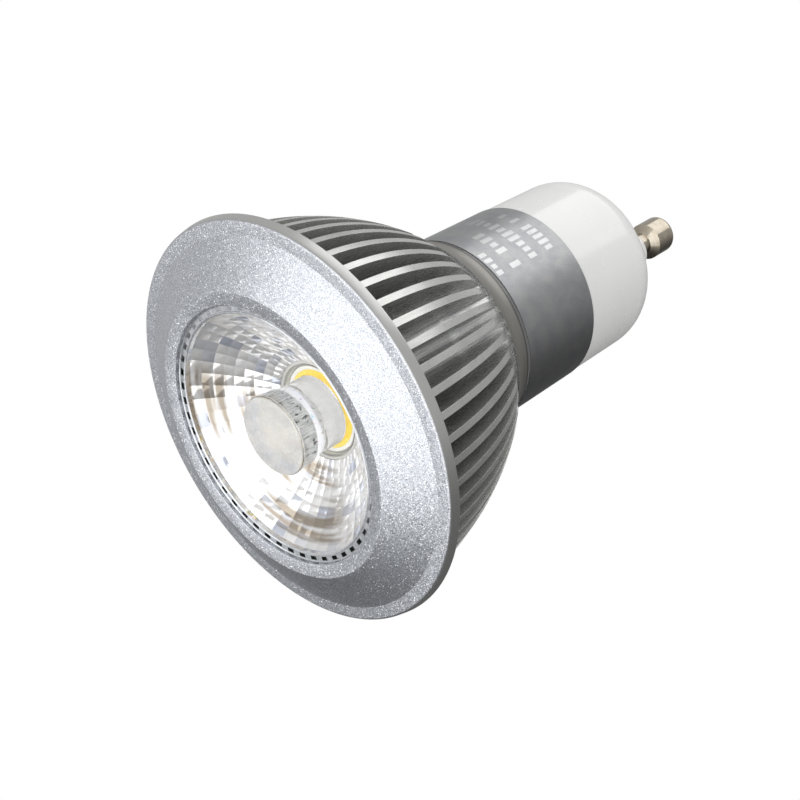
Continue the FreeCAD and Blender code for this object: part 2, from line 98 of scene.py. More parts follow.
class Finish:
    """A node material. Node outputs are passed on as the inputs of later nodes."""

    def __init__(self, name, **fixed):
        self.material = bpy.data.materials.new(name)
        self.material.use_nodes = True
        self.tree = self.material.node_tree
        self.shader = self.tree.nodes["Principled BSDF"]
        self.output = self.tree.nodes["Material Output"]
        for socket, value in fixed.items():
            self.shader.inputs[socket.replace("_", " ")].default_value = value
        self.place = self.node("TexCoord").outputs["Object"]

    def set(self, **sockets):
        """Link node outputs to the shader's sockets."""
        for socket, value in sockets.items():
            self.tree.links.new(value, self.shader.inputs[socket.replace("_", " ")])

    def node(self, kind, inputs=None, **settings):
        return add_node(self.tree, "ShaderNode" + kind, inputs, **settings)

    def math(self, operation, a, b=0.0):
        return self.node("Math", {0: a, 1: b}, operation=operation).outputs[0]

    def plus(self, a, b):
        return self.math("ADD", a, b)

    def minus(self, a, b):
        return self.math("SUBTRACT", a, b)

    def times(self, a, b):
        return self.math("MULTIPLY", a, b)

    def vector(self, x, y, z):
        return self.node("CombineXYZ", {0: x, 1: y, 2: z}).outputs[0]

    @cached_property
    def axes(self):
        return tuple(self.node("SeparateXYZ", {0: self.place}).outputs)

    @property
    def x(self):
        return self.axes[0]

    @property
    def y(self):
        return self.axes[1]

    @property
    def z(self):
        return self.axes[2]

    @cached_property
    def radius(self):
        return self.math("SQRT", self.plus(self.times(self.x, self.x), self.times(self.y, self.y)))

    @cached_property
    def turn(self):
        """Angle round the axis."""
        return self.math("ARCTAN2", self.y, self.x)

    def toward(self, x, y):
        """Distance from the axis toward one side, in metres."""
        return self.plus(self.times(self.x, x), self.times(self.y, y))

    def scaled(self, value, low, high, to_low=0.0, to_high=1.0):
        return self.node("MapRange", {0: value, 1: low, 2: high, 3: to_low, 4: to_high}).outputs[0]

    def past(self, value, place, blur):
        """One where value is past a place in millimetres, and zero before it."""
        return self.scaled(value, (place - blur) * MM, (place + blur) * MM)

    def before(self, value, place, blur):
        return self.scaled(value, (place - blur) * MM, (place + blur) * MM, 1.0, 0.0)

    def within(self, value, low, high, blur):
        return self.times(self.past(value, low, blur), self.before(value, high, blur))

    def noise(self, size, detail=3.0, roughness=0.5, at=None):
        """Noise whose blobs are about size millimetres across."""
        made = self.node("TexNoise", {"Vector": at or self.place, "Scale": 1.0 / (size * MM),
                                      "Detail": detail, "Roughness": roughness})
        return made.outputs["Fac"]

    def mottle(self, size, low=0.0, high=1.0, detail=3.0):
        """Soft blotches about size millimetres across, with values from low to high."""
        return self.scaled(self.noise(size, detail), 0.3, 0.7, low, high)

    def cells(self, size, at=None):
        """A random color for each cell about size millimetres across."""
        made = self.node("TexVoronoi", {"Vector": at or self.place, "Scale": 1.0 / (size * MM)})
        return made.outputs["Color"]

    def part_of(self, color, channel):
        return self.node("SeparateColor", {0: color}).outputs[channel]

    def mix(self, share, a, b):
        return self.node("Mix", {0: share, 6: a, 7: b}, data_type="RGBA").outputs[2]

    def bump(self, height, depth, strength=1.0, normal=None):
        """Normal for a height from 0 to 1 that stands for depth millimetres."""
        inputs = {"Height": height, "Distance": depth * MM, "Strength": strength}
        if normal is not None:
            inputs["Normal"] = normal
        return self.node("Bump", inputs).outputs[0]

    def soft_edges(self, size, samples=4):
        """Normal that rounds every sharp edge by size millimetres."""
        return self.node("Bevel", {"Radius": size * MM}, samples=samples).outputs[0]

    def leaning(self, normal, chance, reach):
        """Normal that leans a random way, by the random color chance and the share reach."""
        lean = self.node("VectorMath", {0: chance, 1: (0.5, 0.5, 0.5)}, operation="SUBTRACT").outputs[0]
        lean = self.node("VectorMath", {0: lean, "Scale": reach}, operation="SCALE").outputs[0]
        lean = self.node("VectorMath", {0: normal, 1: lean}, operation="ADD").outputs[0]
        return self.node("VectorMath", {0: lean}, operation="NORMALIZE").outputs[0]


def color(r, g, b):
    return (r, g, b, 1.0)


def grey(value):
    return color(value, value, value)


# Finishes of the bezel, the reflector and the post

def silver_paint():
    """Metallic paint whose flakes lean a little and now and then far; the side is plain satin."""
    f = Finish("silver_paint", Metallic=0.85, Coat_Weight=0.12, Coat_Roughness=0.25)
    flakes = f.cells(0.08)
    face = f.before(f.radius, FLAT_EDGE_R - 0.05, 0.1)
    flash = f.times(f.scaled(f.part_of(flakes, 2), 0.82, 0.95), face)
    reach = f.plus(f.times(face, 0.23), f.times(flash, 0.50))
    tone = f.times(f.scaled(f.noise(0.08, 2.0), 0.38, 0.62), face)
    paint = f.mix(tone, color(0.25, 0.27, 0.31), color(0.78, 0.80, 0.84))
    paint = f.mix(face, color(0.56, 0.56, 0.55), paint)
    f.set(Base_Color=f.mix(flash, paint, grey(0.95)),
          Roughness=f.scaled(flash, 0.0, 1.0, 0.31, 0.20),
          Normal=f.leaning(f.soft_edges(0.08), flakes, reach))
    return f.material


def mirror_bowl():
    """Bright metallised plastic; each facet leans a little its own way, and on one side warm curved bands
    are a painted reflection of the yellow phosphor.
    """
    f = Finish("mirror_bowl", Metallic=0.62)
    column = f.math("ROUND", f.times(f.turn, COLUMNS / (2 * math.pi)))
    row = f.times(f.minus(f.radius, NECK_R * MM), ROWS / ((MOUTH_R - NECK_R) * MM))
    place = f.vector(column, f.math("FLOOR", row), 0.0)
    facet = f.node("TexWhiteNoise", {0: place}, noise_dimensions="3D").outputs["Color"]
    along = f.vector(f.times(f.radius, 0.55), f.times(f.turn, 0.0004), 0.021)
    # Painted reflection of the yellow phosphor: warm brownish curved bands on one side of the bowl.
    painted_phosphor_reflection = f.scaled(f.noise(0.55, 2.0, at=along), 0.45, 0.58)
    painted_phosphor_reflection = f.times(painted_phosphor_reflection, f.scaled(f.toward(0.75, -0.65), 3.0 * MM, 6.0 * MM))
    metal = f.mix(f.scaled(f.part_of(facet, 0), 0.0, 0.35), color(0.62, 0.66, 0.76), grey(1.0))
    f.set(Base_Color=f.mix(f.times(painted_phosphor_reflection, 0.75), metal, color(0.24, 0.17, 0.08)),
          Roughness=f.mottle(0.8, 0.04, 0.10),
          Normal=f.leaning(f.bump(f.noise(1.4, 1.0), 0.008), facet, 0.16))
    return f.material


def clear_rim():
    """Clear moulded edge of the optic over its metallised back."""
    f = Finish("clear_rim", Metallic=0.6, Coat_Weight=1.0, Coat_Roughness=0.04)
    f.set(Base_Color=f.mix(f.mottle(0.5), color(0.55, 0.57, 0.60), color(0.78, 0.80, 0.82)),
          Roughness=f.mottle(0.3, 0.10, 0.22))
    return f.material


def notch_shade():
    """Painted shade in the notches of the rim: dark on one side and pale on the other."""
    f = Finish("notch_shade", Coat_Weight=0.3)
    # Painted shade: near-black notches, turning pale toward one side.
    dark = f.mix(f.mottle(0.3), color(0.010, 0.014, 0.012), color(0.06, 0.07, 0.065))
    dark_side = f.scaled(f.toward(0.6, -0.8), -7.0 * MM, 3.0 * MM)
    f.set(Base_Color=f.mix(dark_side, color(0.85, 0.86, 0.88), dark), Roughness=f.mottle(0.2, 0.2, 0.4))
    return f.material


def reflector_back():
    f = Finish("reflector_back", Metallic=0.4)
    f.set(Base_Color=f.mix(f.mottle(1.5), grey(0.58), grey(0.68)), Roughness=f.mottle(0.6, 0.3, 0.45))
    return f.material


def clear_post():
    """Clear post: frosted front with a painted highlight in its middle, greyer streaked side, bevelled ring
    painted bright with painted glint specks, clear neck and foot.
    """
    f = Finish("clear_post", IOR=1.45)
    front = f.before(f.z, POST_FRONT_Z + 0.075, 0.075)
    side = f.within(f.z, POST_FRONT_Z + 0.3, POST_BEVEL_Z - 0.1, 0.1)
    bevel = f.within(f.z, POST_BEVEL_Z, POST_WAIST_Z, 0.05)
    neck = f.past(f.z, POST_WAIST_Z, 0.05)

    def unrolled(height_share):
        """The post's side laid flat, with its height drawn out."""
        return f.vector(f.times(f.turn, 0.0045), f.times(f.z, height_share), 0.0)

    streaks = f.noise(0.20, 3.0, 0.6, unrolled(0.10))
    specks = f.noise(0.40, 1.0, at=unrolled(0.5))
    wide = f.scaled(streaks, 0.35, 0.7)
    wall = f.mix(wide, color(0.56, 0.57, 0.56), color(0.20, 0.21, 0.20))
    wall = f.mix(f.scaled(specks, 0.60, 0.66), wall, grey(0.03))
    # Painted highlight: the bevelled ring is coloured near white, with painted glint specks of random
    # colour.
    painted_glints = f.cells(1.0 / 2.2, unrolled(0.2))
    ring = f.mix(f.scaled(specks, 0.60, 0.70, 0.0, 0.7), color(0.95, 0.96, 1.0), painted_glints)
    cloud = f.noise(1.6, 2.0, at=f.vector(f.times(f.x, 0.5), f.y, 0.0))
    frosted_disc_and_highlight = f.mix(f.scaled(cloud, 0.3, 0.7), color(0.74, 0.76, 0.79), grey(1.0))
    # Painted highlight: the front is whitened toward its middle.
    frosted_disc_and_highlight = f.mix(f.scaled(f.radius, 0.0, 3.2 * MM, 0.9, 0.0), frosted_disc_and_highlight, grey(1.0))
    tint = f.mix(side, f.mix(wide, color(0.80, 0.80, 0.79), color(0.56, 0.56, 0.55)), wall)
    tint = f.mix(f.past(f.z, FOOT_Z - 0.1, 0.05), tint, grey(1.0))
    tint = f.mix(front, f.mix(bevel, tint, ring), frosted_disc_and_highlight)
    clear = f.minus(1.0, f.times(side, 0.60))
    clear = f.minus(clear, f.times(bevel, 0.60))
    clear = f.minus(clear, f.times(front, 0.90))
    bent = f.times(f.minus(1.0, front), f.minus(1.0, f.times(neck, 0.7)))
    f.set(Base_Color=tint, Roughness=f.plus(f.times(front, 0.22), f.mottle(0.5, 0.02, 0.07)),
          Transmission_Weight=clear, Normal=f.bump(streaks, 0.012, bent))
    path = f.node("LightPath").outputs
    light_through = f.node("MixShader", {0: path["Is Shadow Ray"], 1: f.shader.outputs[0],
                                         2: f.node("BsdfTransparent").outputs[0]})
    f.tree.links.new(light_through.outputs[0], f.output.inputs["Surface"])
    return f.material


# Finishes of the heat sink and the base

def turned_aluminium():
    """Satin aluminium with fine turning rings, soft streaks along the axis and a dull flared collar."""
    f = Finish("turned_aluminium", Metallic=0.80)
    rings = f.noise(0.30, 4.0, 0.7, f.vector(0.0, 0.0, f.z))
    along = f.vector(f.times(f.turn, 0.02), f.times(f.radius, 0.3), f.times(f.z, 0.04))
    streaks = f.noise(0.16, 3.0, 0.6, along)
    deep = f.scaled(f.radius, 16.0 * MM, 17.6 * MM, 1.0, 0.2)
    collar = f.past(f.z, COLLAR_Z + 0.15, 0.15)
    plain = f.mix(f.mottle(3.0, detail=4.0), color(0.54, 0.54, 0.52), color(0.64, 0.64, 0.62))
    plain = f.mix(f.times(f.scaled(streaks, 0.42, 0.70), deep), plain, color(0.38, 0.39, 0.41))
    dull = f.mix(f.mottle(0.10, detail=2.0), color(0.24, 0.23, 0.21), color(0.33, 0.32, 0.30))
    dull = f.mix(f.past(f.z, COLLAR_END_Z - 0.2, 0.1), dull, grey(0.10))
    streaked = f.bump(f.times(streaks, deep), 0.004, 0.25, f.soft_edges(0.06))
    f.set(Base_Color=f.mix(collar, plain, dull),
          Roughness=f.plus(f.scaled(streaks, 0.3, 0.7, 0.22, 0.32), f.times(collar, 0.12)),
          Normal=f.bump(rings, 0.003, 0.3, streaked))
    return f.material


def band_marks(f):
    """One where a pale bar lies on the band: four rows of plain bars, all starting at one angle."""
    start = 140.5
    turn = f.times(f.turn, 180.0 / math.pi)
    marks = None
    for middle, tall, last, pitch in ((42.15, 1.7, 97.0, 4.6), (39.0, 1.9, 88.0, 5.1),
                                      (35.7, 1.8, 98.0, 5.8), (32.75, 1.2, 121.0, 4.9)):
        span = f.times(f.math("GREATER_THAN", turn, last), f.math("LESS_THAN", turn, start))
        step = f.math("DIVIDE", f.minus(start, turn), pitch)
        bar = f.math("LESS_THAN", f.math("FRACT", step), 0.62)
        number = f.plus(f.math("FLOOR", step), middle)
        chance = f.node("TexWhiteNoise", {"W": number}, noise_dimensions="1D").outputs["Value"]
        half = f.times(f.scaled(chance, 0.1, 0.5, 0.55, 1.0), tall / 2 * MM)
        row = f.math("LESS_THAN", f.math("ABSOLUTE", f.minus(f.z, middle * MM)), half)
        kept = f.math("GREATER_THAN", chance, 0.14)
        here = f.times(f.times(row, span), f.times(bar, kept))
        marks = here if marks is None else f.math("MAXIMUM", marks, here)
    return f.times(marks, f.scaled(turn, 88.0, 128.0, 0.3, 1.0))


def foil_band():
    """Silver-grey foil with a fine grain and worn pale bars."""
    f = Finish("foil_band", Metallic=1.0)
    grain = f.noise(0.10, 2.0)
    foil = f.mix(f.mottle(1.8, detail=4.0), color(0.31, 0.32, 0.34), grey(0.40))
    foil = f.mix(f.scaled(grain, 0.35, 0.65, 0.0, 0.35), foil, grey(0.50))
    worn = f.times(band_marks(f), f.scaled(f.noise(0.5, 4.0), 0.25, 0.45, 0.35, 0.7))
    f.set(Base_Color=f.mix(worn, foil, grey(0.72)), Roughness=f.mottle(0.4, 0.38, 0.46),
          Normal=f.bump(grain, 0.008, 0.6))
    return f.material


def white_plastic():
    """Smooth glossy plastic, toned grey on the narrow strip between the collar and the band."""
    f = Finish("white_plastic", Coat_Weight=0.6, Coat_Roughness=0.08)
    white = f.mix(f.mottle(6.0, detail=2.0), color(0.81, 0.81, 0.80), color(0.83, 0.83, 0.82))
    f.set(Base_Color=f.mix(f.past(f.z, BAND_Z, 0.05), grey(0.16), white),
          Roughness=f.mottle(1.5, 0.22, 0.28), Normal=f.soft_edges(0.15, 3))
    return f.material


def nickel():
    f = Finish("nickel", Metallic=1.0)
    rings = f.noise(0.3, 3.0, 0.6, f.vector(0.0, 0.0, f.z))
    f.set(Base_Color=f.mix(f.mottle(0.8), color(0.42, 0.37, 0.29), color(0.54, 0.49, 0.41)),
          Roughness=f.scaled(rings, 0.3, 0.7, 0.12, 0.24), Normal=f.bump(rings, 0.01, 0.6))
    return f.material


# Finishes of the pieces inside

def phosphor_gel():
    f = Finish("phosphor_gel", Subsurface_Weight=0.3, Subsurface_Scale=0.5 * MM)
    speck = f.noise(0.25)
    f.set(Base_Color=f.mix(f.scaled(speck, 0.3, 0.7), color(1.0, 0.62, 0.05), color(1.0, 0.78, 0.12)),
          Roughness=f.scaled(speck, 0.3, 0.7, 0.35, 0.5), Normal=f.bump(speck, 0.01))
    return f.material


def moulded(name, dark, light, rough_low, rough_high, **fixed):
    """Plain plastic, rubber, ceramic or metal: a faint mottle and a fine grain."""
    f = Finish(name, **fixed)
    fine = f.noise(0.4)
    f.set(Base_Color=f.mix(f.mottle(3.2), color(*dark), color(*light)),
          Roughness=f.scaled(fine, 0.3, 0.7, rough_low, rough_high),
          Normal=f.bump(fine, 0.02, 0.6, f.soft_edges(0.15, 3)))
    return f.material


def finish_cad_nodes():
    holder = moulded("holder_white", (0.82, 0.82, 0.79), (0.88, 0.88, 0.86), 0.4, 0.55)
    black = moulded("moulded_black", (0.02, 0.02, 0.02), (0.05, 0.05, 0.05), 0.35, 0.5)
    brown = moulded("dipped_brown", (0.30, 0.10, 0.04), (0.40, 0.15, 0.07), 0.2, 0.35)
    silicone = moulded("seal_silicone", (0.60, 0.60, 0.58), (0.70, 0.70, 0.68), 0.5, 0.65)
    pad = moulded("pad_grey", (0.28, 0.30, 0.33), (0.36, 0.38, 0.41), 0.6, 0.8)
    ceramic = moulded("cob_ceramic", (0.80, 0.80, 0.78), (0.87, 0.87, 0.85), 0.3, 0.45)
    steel = moulded("plated_steel", (0.55, 0.55, 0.56), (0.66, 0.66, 0.67), 0.2, 0.35, Metallic=1.0)
    wire = moulded("wire_red", (0.45, 0.05, 0.03), (0.55, 0.08, 0.05), 0.35, 0.5)
    copper = moulded("tinned_copper", (0.70, 0.55, 0.42), (0.80, 0.68, 0.55), 0.25, 0.4, Metallic=1.0)
    board = moulded("board_green", (0.02, 0.14, 0.05), (0.03, 0.20, 0.08), 0.35, 0.5)
    tape = moulded("tape_yellow", (0.75, 0.55, 0.06), (0.82, 0.64, 0.12), 0.3, 0.45)
    can = moulded("can_blue", (0.02, 0.04, 0.14), (0.03, 0.06, 0.20), 0.25, 0.4)
    pin = nickel()
    finishes = {
        "cob_phosphor": phosphor_gel(), "label_band": foil_band(), "base_housing": white_plastic(),
        "led_holder": holder, "cob_dam": holder, "cob_substrate": ceramic, "lens_seal": silicone,
        "thermal_pad": pad, "holder_screws": steel, "led_lead_left": wire, "led_lead_right": wire,
        "contact_pin_left": pin, "contact_pin_right": pin, "pin_lead_left": copper,
        "pin_lead_right": copper, "driver_board": board, "transformer_core": black,
        "transformer_winding": tape, "electrolytic_capacitor": can, "film_capacitor": brown,
        "bridge_rectifier": black, "driver_chip": black, "choke_coil": black, "fuse_resistor": brown}
    for name, material in finishes.items():
        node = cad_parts[name]
        node.data.materials.clear()
        node.data.materials.append(material)


# Turned pieces that stand in for plain CAD nodes

SEGMENTS = 192
ROUNDING_STEP = 15


def rounded(corners):
    """Profile of (r, z) points from corners (r, z, rounding), the list being a closed loop."""
    points = []
    count = len(corners)
    for i, (r, z, size) in enumerate(corners):
        here = Vector((r, z))
        if size == 0:
            points.append(here)
            continue
        before = Vector(corners[i - 1][:2]) - here
        after = Vector(corners[(i + 1) % count][:2]) - here
        turn = before.angle(after)
        before.normalize()
        after.normalize()
        back = size / math.tan(turn / 2)
        middle = here + (before + after).normalized() * (size / math.sin(turn / 2))
        first = here + before * back - middle
        last = here + after * back - middle
        whole = first.angle_signed(last)
        steps = max(3, round(abs(math.degrees(whole)) / ROUNDING_STEP))
        for step in range(steps + 1):
            a = -whole * step / steps
            x = first.x * math.cos(a) - first.y * math.sin(a)
            y = first.x * math.sin(a) + first.y * math.cos(a)
            points.append(middle + Vector((x, y)))
    return points


def turned_piece(name, corners, material, sharp):
    """Closed body turned about the axis; points of the profile that lie on the axis become poles."""
    profile = rounded(corners)
    on_axis = [i for i, p in enumerate(profile) if p.x < 1e-6]
    verts, rings = [], []
    for i, p in enumerate(profile):
        if i in on_axis:
            rings.append([len(verts)] * SEGMENTS)
            verts.append((0, 0, p.y * MM))
            continue
        rings.append([len(verts) + k for k in range(SEGMENTS)])
        verts += [round_point(p.x, p.y, 2 * math.pi * k / SEGMENTS) for k in range(SEGMENTS)]
    faces = []
    for i in range(len(profile)):
        j = (i + 1) % len(profile)
        if i in on_axis and j in on_axis:
            continue
        for k in range(SEGMENTS):
            m = (k + 1) % SEGMENTS
            loop = [rings[i][k], rings[j][k], rings[j][m], rings[i][m]]
            faces.append(list(dict.fromkeys(loop)))
    return finished_piece(name, verts, faces, material, sharp)


def body_mesh(name, verts, faces):
    """Mesh whose faces all point outwards."""
    mesh = bpy.data.meshes.new(name)
    mesh.from_pydata(verts, [], faces)
    work = bmesh.new()
    work.from_mesh(mesh)
    bmesh.ops.recalc_face_normals(work, faces=work.faces)
    work.to_mesh(mesh)
    work.free()
    return mesh


def new_object(name, data):
    made = bpy.data.objects.new(name, data)
    bpy.context.scene.collection.objects.link(made)
    return made


def finished_piece(name, verts, faces, material, sharp):
    mesh = body_mesh(name, verts, faces)
    mesh.materials.append(material)
    mesh.shade_smooth()
    mesh.set_sharp_from_angle(angle=math.radians(sharp))
    return new_object(name, mesh)


def evaluated_mesh(source):
    """Plain mesh of an object with its modifiers applied."""
    graph = bpy.context.evaluated_depsgraph_get()
    return bpy.data.meshes.new_from_object(source.evaluated_get(graph))


def stand_in(piece, node):
    """The finished piece takes the CAD node's place."""
    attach(piece, "root")
    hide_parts(node)


def make_bezel():
    corners = [(APERTURE_R, LIP_Z, 0.12), (CREST_R, 0.0, 0.22), (FLAT_R, FLAT_Z, 0.10),
               (FLAT_EDGE_R, FLAT_Z, 0.35), (FLANGE_R, FLANGE_Z, 0.12), (CHANNEL_OUTER_R, FLANGE_Z, 0),
               (CHANNEL_OUTER_R, CHANNEL_OUTER_Z, 0), (CHANNEL_INNER_R, CHANNEL_INNER_Z, 0),
               (CHANNEL_INNER_R, FLANGE_Z, 0), (SKIRT_R, FLANGE_Z, 0), (SKIRT_R, SKIRT_END_Z, 0.1),
               (BORE_R, SKIRT_END_Z, 0.1), (BORE_R, RIM_Z, 0), (APERTURE_R, RIM_Z, 0)]
    stand_in(turned_piece("painted_bezel", corners, silver_paint(), 32), "front_bezel")


def make_post():
    corners = [(0.0, POST_FRONT_Z, 0), (POST_FRONT_R, POST_FRONT_Z, 0.30),
               (POST_BEVEL_R, POST_BEVEL_Z, 0.08), (POST_WAIST_R, POST_WAIST_Z, 0.10),
               (POST_NECK_R, FOOT_Z, 0), (FOOT_R, FOOT_Z, 0), (FOOT_R, FOOT_END_Z, 0), (0.0, FOOT_END_Z, 0)]
    stand_in(turned_piece("clear_post", corners, clear_post(), 32), "centre_lens")


# The faceted reflector: one sector, repeated round the axis

BEADS = ((14.8, 15.1), (15.7, 16.0))
BEAD_HEIGHT = 0.12
RIM_RADII = (REFLECTOR_R, 16.0, 15.95, 15.85, 15.75, 15.70, 15.67, 15.23, 15.20, 15.1, 15.04, 14.95, 14.86,
             MOUTH_R)
NOTCH_INNER_R, NOTCH_OUTER_R = 15.20, 15.70
NOTCH_Z = RIM_Z + 0.45
NOTCH_TURN = 2.03
NOTCH_BLUR = 0.05
SECTOR_HALF = 180 / COLUMNS
FACET_STEPS = 4
FACET_DOME = 0.045
WALL = 1.0
BACK_R, BACK_Z = 16.2, 6.4
SEAM = 0.002
PARTS = {"mirror": 0, "rim": 1, "notch": 2, "back": 3}


def bowl_height(r):
    share = (MOUTH_R ** 2 - r ** 2) / (MOUTH_R ** 2 - NECK_R ** 2)
    return MOUTH_Z + (NECK_Z - MOUTH_Z) * share


def bowl_radius(z):
    share = (NECK_Z - z) / (NECK_Z - MOUTH_Z)
    return math.sqrt(NECK_R ** 2 + (MOUTH_R ** 2 - NECK_R ** 2) * share)


def rim_height(r, turn):
    """Front of the rim: a bead at each edge and half a notch at each side of the sector."""
    if abs(turn) > math.radians(NOTCH_TURN) and NOTCH_INNER_R < r < NOTCH_OUTER_R:
        return NOTCH_Z
    for low, high in BEADS:
        if low <= r <= high:
            return RIM_Z - BEAD_HEIGHT * math.sin(math.pi * (r - low) / (high - low))
    return RIM_Z


def facet_row(row, turns):
    """Lines of points across one row of the sector, whose flat facet is slightly domed."""
    r0 = MOUTH_R + (NECK_R - MOUTH_R) * row / ROWS
    r1 = MOUTH_R + (NECK_R - MOUTH_R) * (row + 1) / ROWS
    z0, z1 = bowl_height(r0), bowl_height(r1)
    away = Vector((r1 - r0, z1 - z0)).normalized()
    out = Vector((-away.y, away.x))
    lines = []
    for step in range(FACET_STEPS + 1):
        share = step / FACET_STEPS
        r = r0 + (r1 - r0) * share
        z = z0 + (z1 - z0) * share
        line = []
        for turn in turns:
            across = math.tan(turn) / math.tan(math.radians(SECTOR_HALF))
            dome = FACET_DOME * (1 - (2 * share - 1) ** 2) * (1 - across ** 2)
            line.append(((r + out.x * dome) * MM, r * MM * math.tan(turn), (z + out.y * dome) * MM))
        lines.append(line)
    return lines


def back_profile():
    """Back of the reflector as (r, z) points, one wall behind the bowl, from the neck to the rim."""
    back = []
    for row in range(ROWS + 1):
        z = MOUTH_Z + (NECK_Z - MOUTH_Z) * row / ROWS
        r = bowl_radius(z)
        slope = 2 * r * (NECK_Z - MOUTH_Z) / (MOUTH_R ** 2 - NECK_R ** 2)
        reach = math.sqrt(1 + slope ** 2)
        back.append((r + WALL * slope / reach, z + WALL / reach))
    back = [(r, z) for r, z in back if r < BACK_R and z < NECK_Z]
    start = (back[-1][0], NECK_Z)
    return [start, *back[::-1], (BACK_R, back[0][1]), (BACK_R, BACK_Z), (REFLECTOR_R, BACK_Z)]


def sector_mesh():
    """Sector of one column with the bowl's facets, the rim, the skirt and the back."""
    edge = [NOTCH_TURN - NOTCH_BLUR, NOTCH_TURN + NOTCH_BLUR, SECTOR_HALF]
    turns = [math.radians(t) for t in [-t for t in edge[::-1]] + [-0.7, 0.7] + edge]
    stations = [("rim", [round_point(r, rim_height(r, t), t) for t in turns]) for r in RIM_RADII]
    for row in range(ROWS):
        lines = facet_row(row, turns)
        stations += [("mirror", line) for line in lines[:-1]]
    stations.append(("back", lines[-1]))
    stations += [("back", [round_point(r, z, t) for t in turns]) for r, z in back_profile()]
    verts = [v for kind, line in stations for v in line]
    faces, parts = [], []
    width = len(turns)
    for i, (kind, line) in enumerate(stations):
        j = (i + 1) % len(stations)
        for k in range(width - 1):
            face = (i * width + k, j * width + k, j * width + k + 1, i * width + k + 1)
            notched = any(abs(verts[v][2] - NOTCH_Z * MM) < 1e-7 for v in face)
            part = "notch" if kind == "rim" and notched else kind
            if kind == "rim" and stations[j][0] == "mirror":
                part = "mirror"
            faces.append(face)
            parts.append(PARTS[part])
    mesh = bpy.data.meshes.new("reflector_sector")
    mesh.from_pydata(verts, [], faces)
    mesh.attributes.new("part", "INT", "FACE").data.foreach_set("value", parts)
    return mesh


def repeat_round_axis(materials):
    """Node tree that repeats a sector round the axis and gives each of its parts a material."""
    tree = bpy.data.node_groups.new("repeat_round_axis", "GeometryNodeTree")
    tree.interface.new_socket("Sector", in_out="INPUT", socket_type="NodeSocketGeometry")
    tree.interface.new_socket("Count", in_out="INPUT", socket_type="NodeSocketInt")
    tree.interface.new_socket("Seam", in_out="INPUT", socket_type="NodeSocketFloat")
    tree.interface.new_socket("Body", in_out="OUTPUT", socket_type="NodeSocketGeometry")

    def add(kind, inputs=None, **settings):
        return add_node(tree, kind, inputs, **settings).outputs

    given = add("NodeGroupInput")
    points = add("GeometryNodePoints", {"Count": given["Count"], "Position": (0.0, 0.0, 0.0)})[0]
    step = add("ShaderNodeMath", {0: 2 * math.pi, 1: given["Count"]}, operation="DIVIDE")[0]
    index = add("GeometryNodeInputIndex")[0]
    turn = add("ShaderNodeMath", {0: index, 1: step}, operation="MULTIPLY")[0]
    axis = add("ShaderNodeCombineXYZ", {2: turn})[0]
    placed = add("GeometryNodeInstanceOnPoints", {"Points": points, "Instance": given["Sector"],
                                                  "Rotation": axis})[0]
    whole = add("GeometryNodeRealizeInstances", {0: placed})[0]
    shape = add("GeometryNodeMergeByDistance", {"Geometry": whole, "Distance": given["Seam"]})[0]
    part = add("GeometryNodeInputNamedAttribute", {"Name": "part"}, data_type="INT")["Attribute"]
    for number, material in enumerate(materials):
        chosen = add("FunctionNodeCompare", {"A": part, "B": number}, data_type="INT", operation="EQUAL")[0]
        shape = add("GeometryNodeSetMaterial", {"Geometry": shape, "Selection": chosen,
                                                "Material": material})[0]
    add("NodeGroupOutput", {0: shape})
    return tree


def make_reflector():
    source = new_object("reflector_source", sector_mesh())
    tree = repeat_round_axis([mirror_bowl(), clear_rim(), notch_shade(), reflector_back()])
    modifier = source.modifiers.new("repeat", "NODES")
    modifier.node_group = tree
    names = {item.name: item.identifier for item in tree.interface.items_tree if item.in_out == "INPUT"}
    modifier[names["Count"]] = COLUMNS
    modifier[names["Seam"]] = SEAM * MM
    mesh = evaluated_mesh(source)
    bpy.data.objects.remove(source)
    mesh.name = "faceted_bowl"
    mesh.shade_smooth()
    mesh.set_sharp_from_angle(angle=math.radians(6))
    stand_in(new_object("faceted_bowl", mesh), "facet_reflector")


# The heat sink, with its gaps carried on over the shoulder to the collar's groove

GAP_FLOOR = ((15.35, 17.2), (14.75, 20.0), (14.2, 23.0), (13.75, 26.0), (13.62, 27.35))
GAP_REACH_R = 25.5
FIN_THICKNESS = 0.83


def gap_mesh():
    """One body for each gap between two fins, with the gap's floor given as (r, z) points.

    It leaves fins a hair thinner than the solid's, so that no faces coincide.
    """
    pitch = 2 * math.pi / FINS
    verts, faces = [], []
    for gap in range(FINS):
        first = len(verts)
        for floor_r, z in GAP_FLOOR:
            for r, side in ((floor_r, -1), (GAP_REACH_R, -1), (GAP_REACH_R, 1), (floor_r, 1)):
                half = pitch / 2 - math.asin(FIN_THICKNESS / 2 / r)
                verts.append(round_point(r, z, (gap + 0.5) * pitch + side * half))
        last = len(verts) - 4
        faces += [(first, first + 1, first + 2, first + 3), (last + 3, last + 2, last + 1, last)]
        for ring in range(first, last, 4):
            for k in range(4):
                m = (k + 1) % 4
                faces.append((ring + k, ring + 4 + k, ring + 4 + m, ring + m))
    return body_mesh("gaps", verts, faces)


